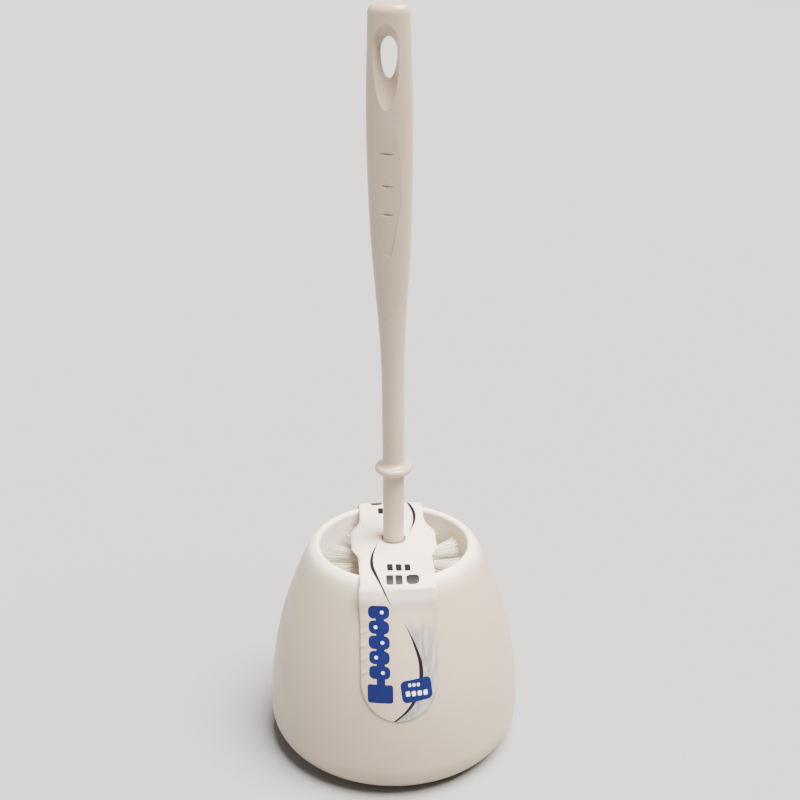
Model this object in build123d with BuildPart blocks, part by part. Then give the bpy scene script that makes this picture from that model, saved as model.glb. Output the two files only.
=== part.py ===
from build123d import *
from math import cos, radians, sin, sqrt
import os

# Toilet brush set: a bell-shaped holder with an inner cup, and a long-handled brush that stands in it.
# The frame's origin is the middle of the circle that the holder stands on. +Z is up, along the brush's
# shaft, and the grip's broad face looks along -Y. All sizes are in millimetres.

os.makedirs("parts", exist_ok=True)

# ---- holder -------------------------------------------------------------------------------------
belly_radius = 65.0  # widest circle of the bell
belly_height = 18.0  # its height, which is also the radius of the rounded foot
side_radius = 202.0  # long arc of the bell's side, in section
shoulder_radius = 9.0  # arc that rolls the side over into the rim
crest_height = 112.6  # top of the shoulder's arc; the mouth cuts the arc just short of it
mouth_radius = 37.6
shell_wall = 2.0
lip_depth = 8.0  # the rim turned down inside the mouth
lip_edge = 1.8  # rounding of the rim's inner edge
foot_inner_radius = 43.0

cup_wall = 1.5
cup_floor = 8.0  # height of the cup's floor inside
cup_floor_radius = 35.9
cup_corner = 4.0
socket_reach = 3.0  # how far the cup's socket reaches above and below the end of the lip
seam_gap = 0.1

base_wall = 2.0
base_recess = 1.2  # the plate stands this far above the surface
snap_bead = 1.4

# ---- brush --------------------------------------------------------------------------------------
core_radius = 9.5
core_ball_height = 34.3  # centre of the core's round lower end
core_top = 107.0
core_edge = 1.2
socket_radius = 3.5
spigot_radius = 3.4
spigot_length = 27.0

tuft_rows = 10
tufts_in_row = 10
row_pitch = 7.3
hole_radius = 1.6
hole_end = 5.6  # distance of a tuft hole's end from the core's axis
anchor_length = 1.2
anchor_width = 3.2
anchor_thickness = 0.4
root_radius = 1.5
tip_radius = 4.6  # a tuft fans out to this
bristle_reach = 34.3  # distance of the tips from the axis
low_rings = {  # tufts on the core's round end: count, degrees below level, reach, tip radius
    "tuft_ring_lower": (8, 33.0, 33.5, 4.4),
    "tuft_ring_end": (4, 66.0, 26.8, 3.6),
}

shaft_low_radius = 5.3
shaft_high_radius = 5.45
shaft_high = 172.0
collar_height = 153.0
collar_radius = 9.2
collar_thickness = 3.8
collar_edge = 1.75
collar_fillet = 2.2

handle_top = 377.1
top_rounding = 4.4
# height, breadth, depth and forward sweep of the grip's oval sections
grip_sections = (
    (shaft_high, 10.9, 10.9, 0.0),
    (196.0, 11.0, 10.8, 0.4),
    (216.0, 11.8, 10.9, 1.2),
    (236.0, 14.2, 11.3, 2.1),
    (253.0, 16.8, 11.8, 2.9),
    (271.0, 19.1, 12.2, 3.7),
    (291.0, 20.6, 12.4, 4.5),
    (314.0, 21.5, 12.4, 5.2),
    (338.0, 21.3, 11.8, 5.7),
    (357.0, 20.2, 11.1, 5.9),
    (handle_top - top_rounding, 19.3, 10.6, 6.0),
)
grip_top, top_breadth, top_depth, top_sweep = grip_sections[-1]
# Egg shapes cut into the grip: half width, height of the widest line, reach above it and below it
hang_hole = (3.75, 356.6, 6.4, 11.4)
hole_dish = (7.3, 359.0, 10.8, 29.0)
hole_mid_plane = 5.8  # forward sweep of the grip at the hanging hole
dish_reach = 6.5  # from the hole's middle to the dish's rim
panel = (11.2, 317.0, 2.5, 267.6)  # upper radius and height, lower radius and height
panel_depth = 0.6  # at the panel's lower end; it runs out towards the dish
panel_round = 26.0
panel_fade_height = 324.0
grooves = ((312.5, 4.0), (297.7, 3.5), (284.5, 3.2))  # height and half length
groove_depth = 0.85
groove_height = 1.8

# ---- label --------------------------------------------------------------------------------------
label_turn = 18.0  # degrees from the grip's face to the label's front end
label_width = 38.4
label_low_end = 45.5
label_gap = 0.35  # from the shell
label_thickness = 0.25
ear_radius = 21.6
shaft_hole_radius = 6.4  # the hole is D-shaped, its straight side to the front
shaft_hole_front = 6.2
shaft_hole_shift = 0.6  # the round side's centre lies in front of the shaft's axis


def bell_section(inset):
    """Arc centres, radii and end points of the bell's section, moved inwards by inset."""
    side_centre = Vector(belly_radius - side_radius, belly_height)
    shoulder_height = crest_height - shoulder_radius
    across = sqrt((side_radius - shoulder_radius) ** 2 - (shoulder_height - belly_height) ** 2)
    shoulder_centre = side_centre + Vector(across, shoulder_height - belly_height)
    outward = (shoulder_centre - side_centre).normalized()
    up = Vector(0, 1)
    halfway = (outward + up).normalized()
    corner_centre = Vector(belly_radius - belly_height, belly_height)
    corner = belly_height - inset
    shoulder = shoulder_radius - inset
    return {
        "foot": corner_centre - Vector(0, corner),
        "foot_mid": corner_centre + Vector(corner, -corner) * sqrt(0.5),
        "belly": corner_centre + Vector(corner, 0),
        "side_mid": side_centre + (Vector(1, 0) + outward).normalized() * (side_radius - inset),
        "side_top": shoulder_centre + outward * shoulder,
        "shoulder_mid": shoulder_centre + halfway * shoulder,
        "crest": shoulder_centre + up * shoulder,
        "shoulder_centre": shoulder_centre,
        "shoulder": shoulder,
    }


def on_shoulder(section, radius):
    """Point of the section's shoulder arc at that distance from the holder's axis."""
    centre = section["shoulder_centre"]
    rise = sqrt(section["shoulder"] ** 2 - (radius - centre.X) ** 2)
    return Vector(radius, centre.Y + rise)


def arc_halfway(section, start, end):
    """Point of the section's shoulder arc halfway between two of its points."""
    centre = section["shoulder_centre"]
    middle = (start - centre) + (end - centre)
    return centre + middle.normalized() * section["shoulder"]


# ---- outer shell: foot ring, bell and rolled rim ---------------------------------------------------
outside = bell_section(0)
inside = bell_section(shell_wall)
lip_top = on_shoulder(outside, mouth_radius)
lip_back = on_shoulder(inside, mouth_radius + shell_wall)
lip_end = crest_height - lip_depth

with BuildPart() as outer_shell:
    with BuildSketch(Plane.XZ) as shell_section:
        with BuildLine():
            Line((foot_inner_radius, 0), outside["foot"])
            ThreePointArc(outside["foot"], outside["foot_mid"], outside["belly"])
            ThreePointArc(outside["belly"], outside["side_mid"], outside["side_top"])
            ThreePointArc(
                outside["side_top"], arc_halfway(outside, outside["side_top"], lip_top), lip_top
            )
            Line(lip_top, (mouth_radius, lip_end))
            Line((mouth_radius, lip_end), (mouth_radius + shell_wall, lip_end))
            Line((mouth_radius + shell_wall, lip_end), lip_back)
            ThreePointArc(
                lip_back, arc_halfway(inside, inside["side_top"], lip_back), inside["side_top"]
            )
            ThreePointArc(inside["side_top"], inside["side_mid"], inside["belly"])
            ThreePointArc(inside["belly"], inside["foot_mid"], inside["foot"])
            Line(inside["foot"], (foot_inner_radius, shell_wall))
            Line((foot_inner_radius, shell_wall), (foot_inner_radius, 0))
        make_face()
        rim_corner = shell_section.vertices().sort_by(lambda v: (Vector(v.X, v.Y) - lip_top).length)[0]
        fillet(rim_corner, lip_edge)
    revolve(axis=Axis.Z)
outer_shell.part.label = "outer_shell"

# ---- inner cup: hangs from the lip by a socket ring --------------------------------------------------
cup_top = lip_end - seam_gap
socket_inner = mouth_radius + shell_wall + seam_gap
socket_outer = socket_inner + cup_wall
with BuildPart() as inner_cup:
    with BuildSketch(Plane.XZ):
        with BuildLine():
            Polyline(
                (0, cup_floor - cup_wall),
                (cup_floor_radius, cup_floor - cup_wall),
                (cup_floor_radius + cup_wall, cup_floor),
                (mouth_radius + cup_wall, cup_top - socket_reach - cup_wall),
                (socket_outer, cup_top - socket_reach),
                (socket_outer, cup_top + socket_reach),
                (socket_inner, cup_top + socket_reach),
                (socket_inner, cup_top),
                (mouth_radius, cup_top),
                (cup_floor_radius, cup_floor),
                (0, cup_floor),
                close=True,
            )
        make_face()
    revolve(axis=Axis.Z)
    floor_edge = inner_cup.edges().filter_by(GeomType.CIRCLE).filter_by(
        lambda e: abs(e.radius - cup_floor_radius) < 0.01 and abs(e.center().Z - cup_floor) < 0.01
    )
    fillet(floor_edge, cup_corner)
inner_cup.part.label = "inner_cup"

# ---- base plate: snaps into the foot ring and carries the cup -----------------------------------------
plate_radius = foot_inner_radius - seam_gap
bead_under = shell_wall + seam_gap
carrier_radius = cup_floor_radius / 2
with BuildPart() as base_plate:
    with BuildSketch(Plane.XZ):
        with BuildLine():
            Polyline(
                (0, base_recess),
                (plate_radius, base_recess),
                (plate_radius, bead_under),
                (plate_radius + snap_bead, bead_under),
                (plate_radius, bead_under + snap_bead),
                (plate_radius - base_wall, bead_under + snap_bead),
                (plate_radius - base_wall, base_recess + base_wall),
                (0, base_recess + base_wall),
                close=True,
            )
        make_face()
    revolve(axis=Axis.Z)
    carrier_height = cup_floor - cup_wall - seam_gap - base_recess - base_wall
    with BuildSketch(Plane.XY.offset(base_recess + base_wall)):
        Circle(carrier_radius)
        Circle(carrier_radius - base_wall, mode=Mode.SUBTRACT)
    extrude(amount=carrier_height)
base_plate.part.label = "base_plate"


# ---- tufts --------------------------------------------------------------------------------------------
def tuft_plane(azimuth, height, below_level=0.0):
    """Plane on the core's axis whose Z runs out along one tuft."""
    level = cos(radians(below_level))
    along = Vector(
        sin(radians(azimuth)) * level, -cos(radians(azimuth)) * level, -sin(radians(below_level))
    )
    return Plane(origin=(0, 0, height), x_dir=along.cross(Vector(0, 0, 1)), z_dir=along)


def ring_planes(count, first_azimuth, height, below_level=0.0):
    """One plane for each tuft of a ring, evenly spread round the core."""
    step = 360 / count
    return [tuft_plane(first_azimuth + step * i, height, below_level) for i in range(count)]


row_planes = []
for row in range(tuft_rows):
    stagger = 180 / tufts_in_row * (row % 2)
    row_planes.append(ring_planes(tufts_in_row, stagger, core_ball_height + row_pitch * row))
low_planes = [
    ring_planes(count, 180 / count, core_ball_height, below)
    for count, below, _, _ in low_rings.values()
]
all_planes = [plane for ring in row_planes + low_planes for plane in ring]
root_start = hole_end + seam_gap + anchor_length + seam_gap
on_base = (Align.CENTER, Align.CENTER, Align.MIN)


def tufts(planes, reach, fan):
    """A tuft on each plane: a straight root in its hole, then a cone that fans out to the tips."""
    with BuildPart() as ring:
        with Locations(*[p.offset(root_start) for p in planes]):
            Cylinder(root_radius, core_radius - root_start, align=on_base)
        with Locations(*[p.offset(core_radius) for p in planes]):
            Cone(root_radius, fan, reach - core_radius, align=on_base)
    return ring.part


tuft_nodes = {}
for row, planes in enumerate(row_planes):
    # Rows are numbered downwards, from the one beside the shaft.
    tuft_nodes[f"tuft_row_{tuft_rows - row:02d}"] = tufts(planes, bristle_reach, tip_radius)
for name, planes in zip(low_rings, low_planes):
    _, _, reach, fan = low_rings[name]
    tuft_nodes[name] = tufts(planes, reach, fan)

with BuildPart() as tuft_anchors:
    with Locations(*[p.offset(hole_end + seam_gap) for p in all_planes]):
        Box(anchor_width, anchor_thickness, anchor_length, align=on_base)
tuft_anchors.part.label = "tuft_anchors"

# ---- head core: drilled spindle that holds the tufts -----------------------------------------------------
with BuildPart() as head_core:
    with BuildSketch(Plane.XY.offset(core_ball_height)):
        Circle(core_radius)
    extrude(amount=core_top - core_ball_height)
    fillet(head_core.faces().sort_by(Axis.Z)[-1].edges(), core_edge)
    with Locations((0, 0, core_ball_height)):
        Sphere(core_radius)
    with Locations((0, 0, core_top)):
        Hole(socket_radius, depth=spigot_length + seam_gap)
    with Locations(*[p.offset(hole_end) for p in all_planes]):
        Cylinder(hole_radius, core_radius, align=on_base, mode=Mode.SUBTRACT)
head_core.part.label = "head_core"


# ---- handle: spigot, shaft with splash collar, and swept oval grip --------------------------------------
def front_of_grip(height):
    """How far the grip's front stands forward of the shaft's axis at that height."""
    for lower, upper in zip(grip_sections, grip_sections[1:]):
        if lower[0] <= height <= upper[0]:
            part_way = (height - lower[0]) / (upper[0] - lower[0])
            fronts = [sweep + depth / 2 for _, _, depth, sweep in (lower, upper)]
            return fronts[0] + (fronts[1] - fronts[0]) * part_way
    raise ValueError("that height is outside the grip")


def drop_outline(forward, big_radius, big_height, small_radius, small_height):
    """Drop shape, round at the top and narrow below, upright at that distance forward."""
    with BuildSketch(Plane.XZ.offset(forward)) as outline:
        with BuildSketch(mode=Mode.PRIVATE) as circles:
            with Locations((0, big_height)):
                Circle(big_radius)
            with Locations((0, small_height)):
                Circle(small_radius)
        make_hull(circles.edges())
    return outline.sketch


def egg_outline(forward, half_width, middle, above, below):
    """Egg shape on end, upright at that distance forward: two half ellipses of different height."""
    with BuildSketch(Plane.XZ.offset(forward)) as outline:
        with BuildLine():
            EllipticalCenterArc((0, middle), half_width, above, 0, arc_size=180)
            EllipticalCenterArc((0, middle), half_width, below, 180, arc_size=180)
        make_face()
    return outline.sketch


# The panel's floor is a gently rounded face that runs out of the grip below the dish.
low_front = front_of_grip(panel[3]) - panel_depth
panel_rise = panel_fade_height - panel[3]
floor_slope = Vector(0, low_front - front_of_grip(panel_fade_height), panel_rise)
with BuildPart(Plane(origin=(0, panel_round - low_front, panel[3]), z_dir=floor_slope)) as panel_floor:
    Cylinder(panel_round, 4 * panel_rise)
with BuildPart() as panel_cut:
    extrude(drop_outline(0, *panel), amount=2 * panel_round)
    add(panel_floor.part, mode=Mode.SUBTRACT)

with BuildPart() as handle:
    with BuildSketch(Plane.XZ):
        with BuildLine():
            Polyline(
                (0, core_top - spigot_length),
                (spigot_radius, core_top - spigot_length),
                (spigot_radius, core_top),
                (shaft_low_radius, core_top),
                (shaft_high_radius, shaft_high),
                (0, shaft_high),
                close=True,
            )
        make_face()
    revolve(axis=Axis.Z)
    with Locations((0, 0, collar_height)):
        Cylinder(collar_radius, collar_thickness)
    collar_circles = handle.edges().filter_by(GeomType.CIRCLE).filter_by_position(
        Axis.Z, collar_height - collar_thickness, collar_height + collar_thickness
    )
    fillet(collar_circles.filter_by(lambda e: e.radius > collar_radius - 0.1), collar_edge)
    shaft_circles = handle.edges().filter_by(GeomType.CIRCLE).filter_by(
        lambda e: e.radius < collar_radius - collar_edge - 0.1
    )
    above_collar = shaft_circles.filter_by_position(
        Axis.Z, collar_height + collar_thickness / 2 - 0.1, collar_height + collar_thickness / 2 + 0.1
    )
    fillet(above_collar.sort_by(lambda e: e.radius)[0], collar_fillet)
    for height, breadth, depth, sweep in grip_sections:
        with BuildSketch(Plane.XY.offset(height)):
            with Locations((0, -sweep)):
                Ellipse(breadth / 2, depth / 2)
    loft()
    for turn in (0, 25, 50, 75, 90):
        shrink = top_rounding * (1 - cos(radians(turn)))
        with BuildSketch(Plane.XY.offset(grip_top + top_rounding * sin(radians(turn)))):
            with Locations((0, -top_sweep)):
                Ellipse(top_breadth / 2 - shrink, top_depth / 2 - shrink)
    loft()
    add(panel_cut.part, mode=Mode.SUBTRACT)

    # The hanging hole narrows from an egg-shaped dish on each face to its middle.
    for face_side in (-1, 1):
        loft(
            [
                egg_outline(hole_mid_plane, *hang_hole),
                egg_outline(hole_mid_plane + dish_reach * face_side, *hole_dish),
            ],
            mode=Mode.SUBTRACT,
        )

    # Each groove is the print of a V-edged disc that dips into the panel's floor from the front.
    for height, half_length in grooves:
        part_way = (height - panel[3]) / panel_rise
        floor_front = low_front + (front_of_grip(panel_fade_height) - low_front) * part_way
        disc_radius = 1 / (2 * groove_depth / half_length**2 - 1 / panel_round)
        disc_centre = floor_front - groove_depth + disc_radius
        with BuildSketch(Plane.XZ.offset(disc_centre)):
            with BuildLine():
                Polyline(
                    (0, height - groove_height / 2),
                    (disc_radius - groove_height / 2, height - groove_height / 2),
                    (disc_radius, height),
                    (disc_radius - groove_height / 2, height + groove_height / 2),
                    (0, height + groove_height / 2),
                    close=True,
                )
            make_face()
        revolve(axis=Axis((0, -disc_centre, 0), (0, 0, 1)), mode=Mode.SUBTRACT)
handle.part.label = "handle"

# ---- label: a paper strip threaded on the shaft and stuck down the bell, front and back ------------------
under = bell_section(-label_gap)
over = bell_section(-label_gap - label_thickness)
half_width = label_width / 2
# The strip has a long slot shape in front view, with round ears beside the shaft's hole.
with BuildPart() as strip:
    with BuildSketch(Plane.XZ.rotated((0, 0, label_turn))):
        with Locations((0, label_low_end + half_width)):
            Circle(half_width)
            Rectangle(label_width, crest_height, align=(Align.CENTER, Align.MIN))
    extrude(amount=2 * belly_radius, both=True)
    with BuildSketch(Plane.XY.offset(lip_end)):
        Circle(ear_radius)
    extrude(amount=2 * lip_depth)
    with BuildSketch(Plane.XY.rotated((0, 0, label_turn))):
        with Locations((0, -shaft_hole_shift)):
            Circle(shaft_hole_radius)
        with Locations((0, -shaft_hole_front)):
            Rectangle(
                2 * shaft_hole_radius, shaft_hole_radius,
                align=(Align.CENTER, Align.MAX), mode=Mode.SUBTRACT,
            )
    extrude(amount=crest_height * 2, mode=Mode.SUBTRACT)

with BuildPart() as label:
    with BuildSketch(Plane.XZ):
        with BuildLine():
            Line((0, under["crest"].Y), under["crest"])
            ThreePointArc(under["crest"], under["shoulder_mid"], under["side_top"])
            ThreePointArc(under["side_top"], under["side_mid"], under["belly"])
            Line(under["belly"], over["belly"])
            ThreePointArc(over["belly"], over["side_mid"], over["side_top"])
            ThreePointArc(over["side_top"], over["shoulder_mid"], over["crest"])
            Line(over["crest"], (0, over["crest"].Y))
            Line((0, over["crest"].Y), (0, under["crest"].Y))
        make_face()
    revolve(axis=Axis.Z)
    add(strip.part, mode=Mode.INTERSECT)
label.part.label = "label"


if __name__ == "__main__":
    for piece in (outer_shell, inner_cup, base_plate, head_core, handle, tuft_anchors, label):
        export_step(piece.part, f"parts/{piece.part.label}.step")
    for name, shape in tuft_nodes.items():
        shape.label = name
        export_step(shape, f"parts/{name}.step")
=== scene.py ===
# Looks for the toilet brush set: smooth warm white mouldings, bundles of fine bristles and a printed
# paper strip. Sizes are in millimetres and are turned into metres when a mesh is made. Only the camera,
# the lights, the floor and the places inside a material are in metres from the start.

import math
import random

import bmesh
import bpy
from mathutils import Matrix, Vector


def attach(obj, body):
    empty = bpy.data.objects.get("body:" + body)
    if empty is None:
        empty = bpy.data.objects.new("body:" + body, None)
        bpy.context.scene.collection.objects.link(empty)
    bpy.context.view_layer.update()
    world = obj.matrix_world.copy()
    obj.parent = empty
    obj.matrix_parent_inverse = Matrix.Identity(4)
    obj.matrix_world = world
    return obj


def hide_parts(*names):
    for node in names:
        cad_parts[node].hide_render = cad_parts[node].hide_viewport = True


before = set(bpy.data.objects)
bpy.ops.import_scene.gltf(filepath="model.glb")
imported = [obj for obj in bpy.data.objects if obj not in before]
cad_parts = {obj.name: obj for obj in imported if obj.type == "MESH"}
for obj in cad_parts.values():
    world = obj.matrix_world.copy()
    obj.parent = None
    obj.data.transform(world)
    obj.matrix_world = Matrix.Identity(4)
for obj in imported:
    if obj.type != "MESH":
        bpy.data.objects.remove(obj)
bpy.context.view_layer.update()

MM = 0.001

# The same sizes as the moulded pieces have, in millimetres.
BELLY_RADIUS = 65.0
BELLY_HEIGHT = 18.0
SIDE_RADIUS = 202.0
LABEL_TURN = math.radians(18)
CORE_RADIUS = 9.5
BALL_HEIGHT = 34.3
TUFT_ROWS = 10
TUFTS_IN_ROW = 10
ROW_PITCH = 7.3
BRISTLE_REACH = 34.3
# tufts in the ring, degrees that they point below level, and how far they reach
LOW_RINGS = {"tuft_ring_lower": (8, 33.0, 33.5), "tuft_ring_end": (4, 66.0, 25.6)}

CAMERA_TURN = math.radians(15)
CAMERA_PITCH = math.radians(90 - 22.76)


# ---- camera and light ---------------------------------------------------------------------------------


def turned(x, y, z):
    """A place given with the camera straight in front, turned with it about the brush's axis."""
    return Matrix.Rotation(CAMERA_TURN, 4, "Z") @ Vector((x, y, z))


def set_camera():
    data = bpy.data.cameras.new("camera")
    data.sensor_width = 36
    data.lens = 60.0
    camera = bpy.data.objects.new("camera", data)
    bpy.context.scene.collection.objects.link(camera)
    camera.location = turned(0.0033, -0.600, 0.4412)
    camera.rotation_euler = (CAMERA_PITCH, 0, CAMERA_TURN)
    bpy.context.scene.camera = camera


def set_light():
    """A faint warm surround and one broad, soft light from above."""
    world = bpy.data.worlds.new("studio")
    bpy.context.scene.world = world
    world.use_nodes = True
    background = world.node_tree.nodes["Background"]
    background.inputs["Color"].default_value = (1.0, 0.96, 0.91, 1)
    background.inputs["Strength"].default_value = 0.10
    data = bpy.data.lights.new("soft_top_light", "SUN")
    data.energy = 20.5
    data.angle = math.radians(40)
    data.color = (1.0, 0.945, 0.88)
    lamp = bpy.data.objects.new("soft_top_light", data)
    bpy.context.scene.collection.objects.link(lamp)
    lamp.rotation_euler = turned(-0.32, 0.13, -1.0).to_track_quat("-Z", "Y").to_euler()


def make_floor():
    """A round floor that sweeps up into a low wall, so that no edge of it shows from any side."""
    mesh = bpy.data.meshes.new("floor")
    bm = bmesh.new()
    flat, sweep, wall = 3.0, 1.2, 2.6
    bends = [math.radians(10 * i) for i in range(10)]
    profile = [(0.0, 0.0)] + [(flat + sweep * math.sin(a), sweep * (1 - math.cos(a))) for a in bends]
    profile.append((flat + sweep, wall))
    line = [bm.verts.new((x, 0, z)) for x, z in profile]
    edges = [bm.edges.new(pair) for pair in zip(line, line[1:])]
    around = {"axis": (0, 0, 1), "cent": (0, 0, 0), "angle": math.tau, "steps": 72, "use_merge": True}
    bmesh.ops.spin(bm, geom=line + edges, **around)
    bmesh.ops.remove_doubles(bm, verts=bm.verts, dist=0.0001)
    for face in bm.faces:
        face.smooth = True
    bm.to_mesh(mesh)
    bm.free()
    floor = bpy.data.objects.new("floor", mesh)
    bpy.context.scene.collection.objects.link(floor)
    material = bpy.data.materials.new("pale_floor")
    material.use_nodes = True
    surface = material.node_tree.nodes["Principled BSDF"]
    surface.inputs["Base Color"].default_value = (0.275, 0.285, 0.297, 1)
    surface.inputs["Roughness"].default_value = 0.9
    mesh.materials.append(material)


# ---- materials ----------------------------------------------------------------------------------------


class Graph:
    """A material's nodes, with short ways to add and join them."""

    def __init__(self, name):
        self.material = bpy.data.materials.new(name)
        self.material.use_nodes = True
        self.tree = self.material.node_tree
        self.surface = self.tree.nodes["Principled BSDF"]

    @classmethod
    def of(cls, material):
        """The nodes of a material that is made already."""
        graph = cls.__new__(cls)
        graph.material = material
        graph.tree = material.node_tree
        graph.surface = graph.tree.nodes["Principled BSDF"]
        return graph

    def put(self, socket, value):
        if isinstance(value, bpy.types.NodeSocket):
            self.tree.links.new(value, socket)
        else:
            socket.default_value = value

    def node(self, kind, inputs=(), **settings):
        made = self.tree.nodes.new(kind)
        for name, value in settings.items():
            setattr(made, name, value)
        for key, value in dict(inputs).items():
            self.put(made.inputs[key], value)
        return made

    def math(self, operation, *values):
        made = self.node("ShaderNodeMath", operation=operation)
        for socket, value in zip(made.inputs, values):
            self.put(socket, value)
        return made.outputs[0]

    def vector(self, operation, *values):
        made = self.node("ShaderNodeVectorMath", operation=operation)
        for socket, value in zip(made.inputs, values):
            self.put(socket, value)
        return made.outputs["Value" if operation == "LENGTH" else "Vector"]

    def ramp(self, value, low, high, to_low=0.0, to_high=1.0):
        """value from low to high becomes to_low to to_high, eased at both ends."""
        keys = {"Value": value, "From Min": low, "From Max": high, "To Min": to_low, "To Max": to_high}
        return self.node("ShaderNodeMapRange", keys, interpolation_type="SMOOTHSTEP").outputs[0]

    def mix(self, share, first, second):
        made = self.node("ShaderNodeMix", data_type="RGBA")
        self.put(made.inputs["Factor"], share)
        self.put(made.inputs[6], first)
        self.put(made.inputs[7], second)
        return made.outputs[2]

    def place(self):
        return self.node("ShaderNodeTexCoord").outputs["Object"]

    def noise(self, scale, detail=2.0, place=None):
        keys = {"Vector": place or self.place(), "Scale": scale, "Detail": detail}
        return self.node("ShaderNodeTexNoise", keys).outputs[0]

    def finish(self, **values):
        for name, value in values.items():
            self.put(self.surface.inputs[name.replace("_", " ")], value)
        return self.material


def moulded_plastic(name, light, dark, roughness, waviness=0.02, bleed=0.12):
    """Thick white plastic: uneven tint and gloss, a faint ripple, and light that sinks in a little."""
    g = Graph(name)
    tint = g.mix(g.ramp(g.noise(14, 3), 0.3, 0.7), light, dark)
    gloss = g.ramp(g.noise(60, 4), 0.3, 0.7, roughness - 0.05, roughness + 0.06)
    ripple = g.node("ShaderNodeBump", {"Height": g.noise(160, 3), "Strength": waviness, "Distance": 0.001})
    return g.finish(
        Base_Color=tint,
        Roughness=gloss,
        Normal=ripple.outputs[0],
        Subsurface_Weight=bleed,
        Subsurface_Radius=(1.0, 0.8, 0.6),
        Subsurface_Scale=0.004,
        IOR=1.49,
    )


def shell_plastic(side_light, side_dark, mouth_painted_light):
    """The bell's plastic. Its tint is set paler near the rim, which looks brighter than the sides: painted
    light there. The real moulding may well be one colour all over."""
    material = moulded_plastic("holder_plastic", side_light, side_dark, 0.34)
    g = Graph.of(material)
    tint = g.surface.inputs["Base Color"].links[0].from_socket
    from_axis = g.vector("LENGTH", g.vector("MULTIPLY", g.place(), (1, 1, 0)))
    height = g.node("ShaderNodeSeparateXYZ", {"Vector": g.place()}).outputs[2]
    # near the rim the tint turns to the paler mouth tint: painted light
    rim = g.math("MULTIPLY", g.ramp(from_axis, 0.0385, 0.0475, 1.0, 0.0), g.ramp(height, 0.095, 0.104))
    return g.finish(Base_Color=g.mix(rim, tint, mouth_painted_light))


def bristle_plastic():
    g = Graph("bristle_filament")
    tint = g.mix(g.ramp(g.noise(220, 2), 0.35, 0.65), (0.98, 0.91, 0.80, 1), (0.94, 0.86, 0.73, 1))
    return g.finish(
        Base_Color=tint,
        Roughness=0.42,
        Subsurface_Weight=0.35,
        Subsurface_Radius=(1.0, 0.85, 0.7),
        Subsurface_Scale=0.003,
        IOR=1.5,
    )


def anchor_wire():
    g = Graph("anchor_wire")
    tint = g.mix(g.noise(400, 2), (0.62, 0.62, 0.60, 1), (0.48, 0.48, 0.47, 1))
    return g.finish(Base_Color=tint, Metallic=1.0, Roughness=g.ramp(g.noise(900), 0.3, 0.7, 0.28, 0.45))


# The print's colours.
# the paper's tint in two copies: painted light where it lies flat over the mouth, painted shade down the
# sides
PAPER_PAINTED_LIGHT = ((0.80, 0.71, 0.64, 1), (0.77, 0.68, 0.60, 1))
PAPER_PAINTED_SHADE = ((0.51, 0.395, 0.31, 1), (0.48, 0.37, 0.285, 1))
SILVER = ((0.20, 0.208, 0.214, 1), (0.34, 0.352, 0.363, 1))
LILAC_MIST = (0.66, 0.62, 0.74, 1)
CURVE_INK = (0.006, 0.003, 0.008, 1)
COLUMN_BLUE = (0.003, 0.0075, 0.078, 1)
COLUMN_GAP = (0.80, 0.80, 0.84, 1)
TAB_BLUE = (0.003, 0.008, 0.075, 1)
TAB_BARS = (0.82, 0.83, 0.88, 1)
HEADING_INK = (0.004, 0.004, 0.005, 1)
HEADING_GREY = (0.010, 0.010, 0.011, 1)

CURVE_SPAN = 20.0  # a printed curve's places run from minus this to plus this across the strip
SOFT_EDGE = 0.12  # half the width over which a printed box fades out


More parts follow.
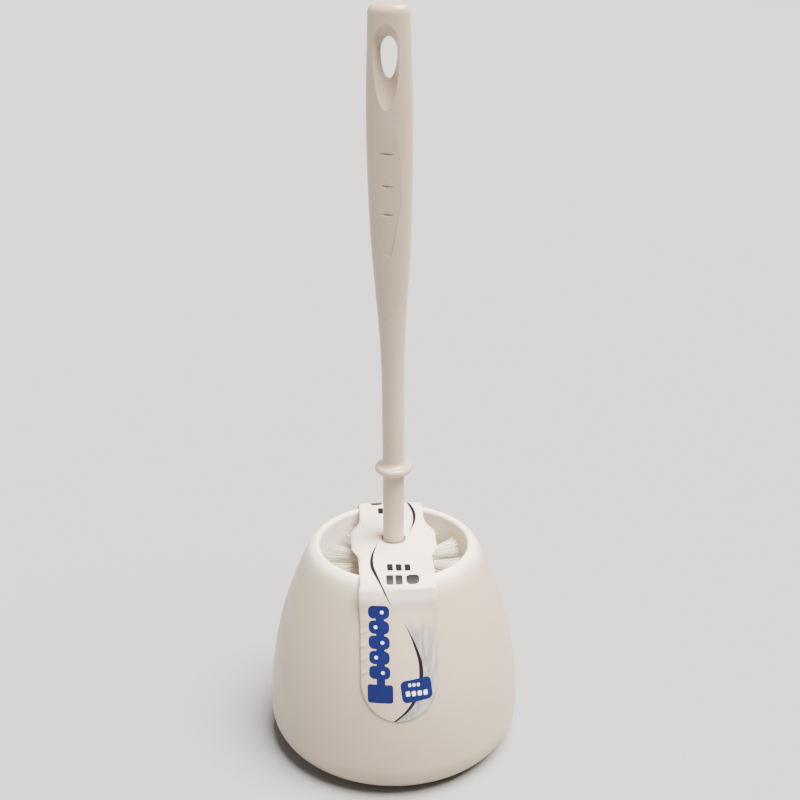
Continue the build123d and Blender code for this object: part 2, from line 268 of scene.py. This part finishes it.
def label_paper():
    """Coated paper with a generic print.

    The map named strip holds each point's place on the flat strip in millimetres: across it, and along
    it from the middle. Both halves carry the same print, feet outwards.
    """
    g = Graph("label_paper")
    flat = g.node("ShaderNodeUVMap", uv_map="strip").outputs[0]
    strip = g.node("ShaderNodeSeparateXYZ", {"Vector": flat})
    half = g.math("SIGN", strip.outputs[1])
    across = g.math("MULTIPLY", strip.outputs[0], half)
    along = g.math("ABSOLUTE", strip.outputs[1])
    place = g.node("ShaderNodeCombineXYZ", {"X": across, "Y": along}).outputs[0]

    def box(centre, size, corner, turn=0.0):
        """1 inside a rounded box on the strip, 0 outside it."""
        local = g.vector("SUBTRACT", place, (centre[0], centre[1], 0))
        if turn:
            keys = {"Vector": local, "Angle": math.radians(turn)}
            local = g.node("ShaderNodeVectorRotate", keys, rotation_type="Z_AXIS").outputs[0]
        reach = g.vector("ABSOLUTE", local)
        inset = (size[0] / 2 - corner, size[1] / 2 - corner, 1)
        beyond = g.vector("MAXIMUM", g.vector("SUBTRACT", reach, inset), (0, 0, 0))
        return g.ramp(g.vector("LENGTH", beyond), corner - SOFT_EDGE, corner + SOFT_EDGE, 1.0, 0.0)

    def union(masks):
        total = masks[0]
        for mask in masks[1:]:
            total = g.math("MAXIMUM", total, mask)
        return total

    def bend(start, end, points):
        """A smooth line across the strip, given by its place at shares of the way from start to end."""
        share = g.ramp(along, start, end)
        share.node.interpolation_type = "LINEAR"
        curve = g.node("ShaderNodeFloatCurve", {"Value": share})
        line = curve.mapping.curves[0]
        for x, y in points[1:-1]:
            line.points.new(x, (y + CURVE_SPAN) / (2 * CURVE_SPAN))
        line.points[0].location = (0, (points[0][1] + CURVE_SPAN) / (2 * CURVE_SPAN))
        last = (points[-1][1] + CURVE_SPAN) / (2 * CURVE_SPAN)
        line.points[len(points) - 1].location = (1, last)
        curve.mapping.update()
        return g.math("MULTIPLY_ADD", curve.outputs[0], 2 * CURVE_SPAN, -CURVE_SPAN)

    def stroke(middle, start, end, thick):
        """A line that swells to its full thickness halfway along."""
        share = g.ramp(along, start, end)
        share.node.interpolation_type = "LINEAR"
        swell = g.math("SINE", g.math("MULTIPLY", share, math.pi))
        width = g.math("MULTIPLY", swell, thick)
        off = g.math("ABSOLUTE", g.math("SUBTRACT", across, middle))
        return g.ramp(g.math("SUBTRACT", off, width), -0.2, 0.0, 1.0, 0.0)

    # soft silver shade on the right of the long curve, and a faint lilac mist beside the first curve
    first = bend(7, 56, [(0, -8.8), (0.34, -12.0), (0.62, -10.2), (0.82, -6.6), (1, -2.4)])
    second = bend(60, 112, [(0, 1.2), (0.25, 7.4), (0.5, 10.6), (0.75, 8.4), (1, -2.6)])
    beside = g.math("SUBTRACT", across, second)
    shade = g.math("MULTIPLY", g.ramp(beside, -0.1, 0.1), g.ramp(beside, 0.0, 14.0, 0.95, 0.55))
    shade = g.math("MULTIPLY", shade, g.ramp(along, 60, 68))
    past = g.math("SUBTRACT", across, first)
    mist = g.math("MULTIPLY", g.ramp(past, 0.0, 9.0, 0.4, 0.0), g.ramp(along, 40, 56, 1.0, 0.0))
    mist = g.math("MULTIPLY", mist, g.ramp(past, -0.2, 0.2))
    # the paper is set darker where it is stuck down than over the mouth: painted shade down the sides,
    # painted light on top
    fibre = g.ramp(g.noise(30, 3), 0.3, 0.7)
    painted_lit_paper = g.mix(fibre, *PAPER_PAINTED_LIGHT)
    painted_shaded_paper = g.mix(fibre, *PAPER_PAINTED_SHADE)
    paper_lit_and_shaded = g.mix(g.ramp(along, 43, 60), painted_lit_paper, painted_shaded_paper)
    # lighter streaks across the silver print: painted highlights, as on foil
    silver_painted_highlights = g.noise(1.0, 2, g.vector("MULTIPLY", place, (0.55, 0.09, 1)))
    silver = g.mix(g.ramp(silver_painted_highlights, 0.42, 0.64), *SILVER)
    colour = g.mix(shade, paper_lit_and_shaded, silver)
    colour = g.mix(mist, colour, LILAC_MIST)

    # the two dark curves
    lines = union([stroke(first, 2, 58, 1.0), stroke(second, 60, 128, 1.2)])
    colour = g.mix(lines, colour, CURVE_INK)

    # a column of blue blocks down the left, wider at its foot
    column_middle = -9.6
    block_places = [57.2 + 7.4 * i for i in range(5)]
    column = [box((column_middle, v), (10.4 - 0.3 * (i % 2), 6.7), 2.6) for i, v in enumerate(block_places)]
    column += [box((-9.0, 78), (4.2, 46), 1.6), box((-9.4, 97.6), (12.6, 9.6), 1.4)]
    gaps = [box((column_middle + 1.6 * (-1) ** i, v), (1.7, 1.7), 0.85) for i, v in enumerate(block_places)]
    colour = g.mix(union(column), colour, COLUMN_BLUE)
    colour = g.mix(g.math("MULTIPLY", union(gaps), union(column)), colour, COLUMN_GAP)

    # a blue tab, tilted a little, with a row of three small pale blocks and one of four larger ones
    tilt = 7
    colour = g.mix(box((8.3, 96.0), (15.2, 11.6), 2.6, tilt), colour, TAB_BLUE)
    bars = [box((4.9 + 2.1 * i, 93.2), (1.3, 1.6), 0.3, tilt) for i in range(3)]
    bars += [box((4.0 + 2.9 * i, 97.6), (1.9, 2.5), 0.5, tilt) for i in range(4)]
    colour = g.mix(union(bars), colour, TAB_BARS)

    # near-black blocks where the heading goes, and wider dark grey ones with a slit beneath them
    small_heads = [box((-3.2 + 4.3 * i, 29.8), (3.0, 6.6), 0.9) for i in range(3)]
    wide_heads = [box((-1.5, 40.2), (8.0, 6.6), 1.0), box((7.4, 40.2), (6.4, 6.6), 2.2)]
    slit = box((-1.5, 40.2), (0.9, 6.8), 0.3)
    colour = g.mix(union(small_heads), colour, HEADING_INK)
    colour = g.mix(union(wide_heads), colour, HEADING_GREY)
    colour = g.mix(slit, colour, paper_lit_and_shaded)

    crinkle = g.node("ShaderNodeBump", {"Height": g.noise(45, 4), "Strength": 0.10, "Distance": 0.002})
    return g.finish(
        Base_Color=colour,
        Roughness=g.ramp(g.noise(80), 0.3, 0.7, 0.48, 0.6),
        Normal=crinkle.outputs[0],
        Specular_IOR_Level=0.22,
        IOR=1.5,
    )


# ---- new pieces ---------------------------------------------------------------------------------------


def add_piece(name, bm, material, body, replaced):
    """Makes the mesh into a piece that moves with its body and stands for the solid in the same place."""
    bmesh.ops.recalc_face_normals(bm, faces=bm.faces)
    for face in bm.faces:
        face.smooth = True
    bmesh.ops.scale(bm, vec=(MM, MM, MM), verts=bm.verts)
    mesh = bpy.data.meshes.new(name)
    bm.to_mesh(mesh)
    bm.free()
    mesh.materials.append(material)
    piece = bpy.data.objects.new(name, mesh)
    bpy.context.scene.collection.objects.link(piece)
    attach(piece, body)
    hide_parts(replaced)
    return piece


def side_radius_at(height):
    """Radius of the bell's side at a height above its widest circle."""
    return BELLY_RADIUS - SIDE_RADIUS + math.sqrt(SIDE_RADIUS**2 - (height - BELLY_HEIGHT) ** 2)


def filament(bm, root, direction, tip, thickness, sides=5, steps=4):
    """One bristle: starts along its tuft's direction and bends towards its own tip."""
    across = direction.orthogonal().normalized()
    span = (tip - root).length
    control = root + direction * span * 0.45
    rings = []
    for step in range(steps + 1):
        share = step / steps
        centre = root * (1 - share) ** 2 + control * 2 * share * (1 - share) + tip * share**2
        radius = thickness / 2 * (1 - 0.25 * share)
        ring = []
        for corner in range(sides):
            angle = 2 * math.pi * corner / sides
            spoke = Matrix.Rotation(angle, 3, direction) @ across
            ring.append(bm.verts.new(centre + spoke * radius))
        rings.append(ring)
    for low, high in zip(rings, rings[1:]):
        for corner in range(sides):
            after = (corner + 1) % sides
            bm.faces.new((low[corner], low[after], high[after], high[corner]))
    bm.faces.new(rings[-1])
    bm.faces.new(list(reversed(rings[0])))


def tuft_direction(azimuth, below):
    """The way a tuft points: round from the front by azimuth, and below level."""
    level = math.cos(below)
    return Vector((math.sin(azimuth) * level, -math.cos(azimuth) * level, -math.sin(below)))


FILAMENTS = 84  # in one tuft
FILAMENT_THICKNESS = 0.32
GOLDEN_TURN = 2.39996  # radians from one filament's place in its tuft to the next one's


def tuft_ring(name, azimuths, height, below, reach, fan, material):
    """All the bristles of one ring of tufts, fanned out from their holes in the core."""
    rng = random.Random(name)
    count = FILAMENTS
    bm = bmesh.new()
    for azimuth in azimuths:
        along = tuft_direction(azimuth, below)
        side = along.cross(Vector((0, 0, 1))).normalized()
        up = side.cross(along)
        lean = Vector((rng.uniform(-1, 1), rng.uniform(-1, 1))) * 0.5
        for i in range(count):
            spread = math.sqrt((i + 0.5) / count)
            turn = i * GOLDEN_TURN + rng.uniform(-0.3, 0.3)
            out = side * math.cos(turn) + up * math.sin(turn)
            root = Vector((0, 0, height)) + along * (CORE_RADIUS - 2.2) + out * spread * 1.3
            splay = out * spread * fan * rng.uniform(0.75, 1.12) + side * lean.x + up * (lean.y + 0.5)
            tip = Vector((0, 0, height)) + along * (reach + 0.9 - rng.uniform(0.0, 1.5)) + splay
            filament(bm, root, along, tip, FILAMENT_THICKNESS)
    return add_piece(f"bristles_{name}", bm, material, "brush", name)


def make_bristles(material):
    step = 2 * math.pi / TUFTS_IN_ROW
    for row in range(TUFT_ROWS):
        first = step / 2 * (row % 2)
        azimuths = [first + step * i for i in range(TUFTS_IN_ROW)]
        name = f"tuft_row_{TUFT_ROWS - row:02d}"
        tuft_ring(name, azimuths, BALL_HEIGHT + ROW_PITCH * row, 0.0, BRISTLE_REACH, 5.2, material)
    for name, (count, below, reach) in LOW_RINGS.items():
        step = 2 * math.pi / count
        azimuths = [step / 2 + step * i for i in range(count)]
        tuft_ring(name, azimuths, BALL_HEIGHT, math.radians(below), reach, 4.0, material)


# ---- paper strip --------------------------------------------------------------------------------------

STRIP_END = 112.0
END_RADIUS = 19.2
PAPER_THICKNESS = 0.16
FOLD = 45.6  # the crease over the rim, along the strip
HOLE_RADIUS = 6.1
HOLE_MIDDLE = 0.3  # the round side's centre, in front of the shaft's axis
HOLE_FRONT = 6.2  # its straight side
MIDDLE = 22.0  # the part round the hole reaches this far along the strip each way


def smooth_between(before, a, b, after, t):
    """The point at share t from a to b, on a smooth line through all four."""
    slope = b - before
    bow = 2 * before - 5 * a + 4 * b - after
    twist = 3 * a - before - 3 * b + after
    return 0.5 * (2 * a + slope * t + bow * t**2 + twist * t**3)


def strip_path():
    """The strip's middle line from the shaft outwards: distance from the axis and height, for one half."""
    corners = [(0, 113.15), (12, 113.15), (24, 113.1), (34, 113.1)]  # flat over the mouth
    corners += [(39.5, 112.75), (43.2, 111.2), (45.4, 109.2), (46.2, 106.9), (47.3, 103.6)]  # over the rim
    corners += [(side_radius_at(z) + 0.5, z) for z in (99, 92, 84, 76, 68, 60, 52, 46, 43)]
    points = [Vector(c) for c in corners]
    fine = []
    for i in range(len(points) - 1):
        before = points[max(i - 1, 0)]
        after = points[min(i + 2, len(points) - 1)]
        for k in range(8):
            fine.append(smooth_between(before, points[i], points[i + 1], after, k / 8))
    fine.append(points[-1])
    lengths = [0.0]
    for a, b in zip(fine, fine[1:]):
        lengths.append(lengths[-1] + (b - a).length)
    return fine, lengths


PATH, PATH_LENGTHS = strip_path()


def eased(value, low, high):
    """0 below low, 1 above high, and eased at both ends between them."""
    share = min(max((value - low) / (high - low), 0), 1)
    return share * share * (3 - 2 * share)


def strip_point(across, along):
    """Where a point of the flat strip lies once it is folded over the rim."""
    reach = abs(along)
    i = 0
    while i < len(PATH) - 2 and PATH_LENGTHS[i + 1] < reach:
        i += 1
    share = (reach - PATH_LENGTHS[i]) / (PATH_LENGTHS[i + 1] - PATH_LENGTHS[i])
    forward, height = PATH[i].lerp(PATH[i + 1], share)
    hug = 0.3 * eased(reach, 34, 46) + 0.7 * eased(reach, 47, 68)
    x, y = across, forward
    if hug:
        x += (forward * math.sin(across / forward) - across) * hug
        y += (forward * math.cos(across / forward) - forward) * hug
    over_mouth = 1 - eased(reach, 14, 30)
    height -= 1.3 * over_mouth * eased(abs(across), 11, 22)
    wave = 0.22 * math.sin(across * 0.23 + along * 0.11)
    height += wave * (1 - eased(reach, 30, 44)) * eased(reach, 6, 18)
    # a sharp crease where the strip folds over the rim, and short puckers down its left edge
    lift = 0.7 * math.exp(-(((along - FOLD) / 0.9) ** 2)) * eased(across, -8, 2)
    pucker = max(0.0, math.sin(along * 0.95 + across * 0.35)) ** 3
    lift += 0.45 * pucker * eased(-across, 12.5, 18.5) * eased(along, 58, 66) * (1 - eased(along, 92, 98))
    y += lift
    place = Vector((x, -y if along >= 0 else y, height))
    place.rotate(Matrix.Rotation(LABEL_TURN, 3, "Z"))
    return place


def strip_half_width(along):
    """Half the strip's width: ears beside the hole, a narrower back over the mouth, round ends."""
    reach = abs(along)
    width = 18.3 + 3.3 * (1 - eased(reach, 7, 19)) + 0.9 * eased(reach, 42, 50)
    width -= 1.6 * eased(-along, 10, 24) * (1 - eased(-along, 50, 62))
    if reach > STRIP_END - END_RADIUS:
        width = min(width, math.sqrt(max(END_RADIUS**2 - (reach - STRIP_END + END_RADIUS) ** 2, 0.0)))
    return width


def make_label(material):
    """The paper strip: rings of faces round the hole, then a tail of rows to each end."""
    bm = bmesh.new()
    flat = bm.loops.layers.uv.new("strip")
    spot = {}

    def vert(across, along):
        made = bm.verts.new(strip_point(across, along))
        spot[made] = (across, along)
        return made

    def face(*corners):
        made = bm.faces.new(corners)
        for loop in made.loops:
            loop[flat].uv = spot[loop.vert]

    columns = 40
    shares = [2 * i / columns - 1 for i in range(columns + 1)]
    # the outline of the part round the hole, counted anticlockwise from its right front corner
    steps = 34
    lines = [2 * MIDDLE * i / steps - MIDDLE for i in range(steps + 1)]
    edge = [(strip_half_width(v), v) for v in reversed(lines)]
    edge += [(strip_half_width(-MIDDLE) * -s, -MIDDLE) for s in shares[1:]]
    edge += [(-strip_half_width(v), v) for v in lines[1:]]
    edge += [(strip_half_width(MIDDLE) * s, MIDDLE) for s in shares[1:-1]]
    rings = []
    depth = 9
    for ring in range(depth + 1):
        share = ring / depth
        made = []
        for across, along in edge:
            out = Vector((across, along - HOLE_MIDDLE))
            rim = out.normalized() * HOLE_RADIUS
            if rim.y > HOLE_FRONT - HOLE_MIDDLE:
                rim = out * (HOLE_FRONT - HOLE_MIDDLE) / out.y
            spot_on = rim.lerp(out, share**1.2)
            made.append(vert(spot_on.x, spot_on.y + HOLE_MIDDLE))
        rings.append(made)
    for inner, outer in zip(rings, rings[1:]):
        for i in range(len(edge)):
            j = (i + 1) % len(edge)
            face(inner[i], inner[j], outer[j], outer[i])
    outer = rings[-1]
    front_row = [outer[0]] + outer[: -columns : -1] + [outer[steps * 2 + columns]]
    back_row = outer[steps : steps + columns + 1]
    # the rows of the two tails: evenly spaced, then closer and closer round the end
    straight = STRIP_END - END_RADIUS - MIDDLE
    tail = [MIDDLE + straight * i / 100 for i in range(1, 101)]
    round_start, round_reach = STRIP_END - END_RADIUS, END_RADIUS - 0.05
    tail += [round_start + round_reach * math.sin(math.pi / 2 * i / 14) for i in range(1, 15)]
    for way, start in ((1, front_row), (-1, back_row)):
        last = start
        for reach in tail:
            widening = strip_half_width(way * reach) / strip_half_width(way * MIDDLE)
            row = [vert(spot[v][0] * widening, way * reach) for v in start]
            for i in range(columns):
                face(last[i], last[i + 1], row[i + 1], row[i])
            last = row
    bmesh.ops.remove_doubles(bm, verts=bm.verts, dist=0.02)
    bmesh.ops.recalc_face_normals(bm, faces=bm.faces)
    bmesh.ops.solidify(bm, geom=bm.faces[:], thickness=PAPER_THICKNESS)
    return add_piece("paper_strip", bm, material, "label", "label")


# ---- put it together ------------------------------------------------------------------------------------

set_camera()
set_light()
make_floor()

WARM = (0.47, 0.375, 0.28, 1)
WARM_DARK = (0.435, 0.342, 0.25, 1)
# a paler copy of the plastic's tint: painted light on the rim and on the cup inside the mouth
MOUTH_PAINTED_LIGHT = (0.95, 0.87, 0.76, 1)
finishes = {
    "outer_shell": shell_plastic(WARM, WARM_DARK, MOUTH_PAINTED_LIGHT),
    "inner_cup": moulded_plastic("cup_plastic", MOUTH_PAINTED_LIGHT, (0.93, 0.84, 0.72, 1), 0.40),
    "base_plate": moulded_plastic("base_plastic", WARM_DARK, (0.41, 0.32, 0.23, 1), 0.5),
    "head_core": moulded_plastic("core_plastic", WARM, WARM_DARK, 0.5),
    "handle": moulded_plastic("handle_plastic", WARM, WARM_DARK, 0.30),
    "tuft_anchors": anchor_wire(),
}
for node, material in finishes.items():
    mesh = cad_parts[node].data
    mesh.materials.clear()
    mesh.materials.append(material)

bristles = bristle_plastic()
make_bristles(bristles)
make_label(label_paper())
